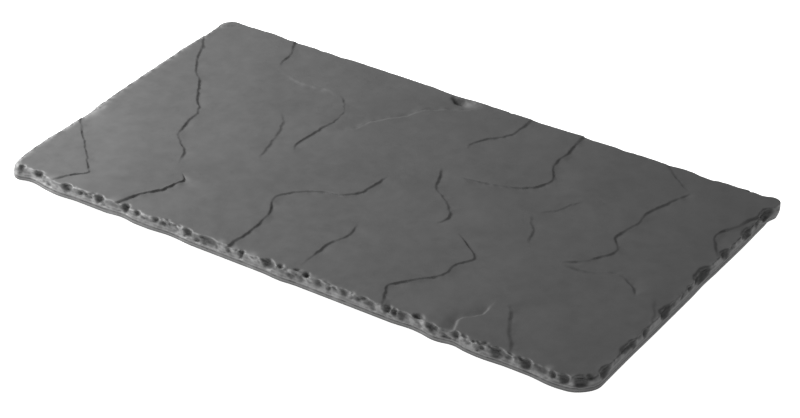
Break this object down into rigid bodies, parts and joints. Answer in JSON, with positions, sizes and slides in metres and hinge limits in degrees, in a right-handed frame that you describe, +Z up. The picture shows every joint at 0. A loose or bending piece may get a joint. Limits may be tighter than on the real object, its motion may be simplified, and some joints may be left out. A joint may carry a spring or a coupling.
{
  "type": "rectangular steak plate",
  "caption": "Rectangular slate-effect steak plate: a flat dark grey slab with a cleft top face and chipped rim, on flat stick-on silicone feet.",
  "frame": {"origin": "on the table under the middle of the plate", "axes": "+X along the length of the plate, +Y from the front long edge to the back long edge, +Z up"},
  "size_m": [0.3029, 0.1619, 0.0082],
  "materials": {
    "slate_ware": "matt, faintly satin, dark neutral grey",
    "silicone": "matt black silicone",
    "adhesive": "off-white double-sided tape"
  },
  "bodies": {
    "root": {"slab": "slate_ware", "foot_front_left": "silicone", "foot_front_right": "silicone", "foot_back_left": "silicone", "foot_back_right": "silicone", "adhesive_front_left": "adhesive", "adhesive_front_right": "adhesive", "adhesive_back_left": "adhesive", "adhesive_back_right": "adhesive"}
  },
  "joints": []
}
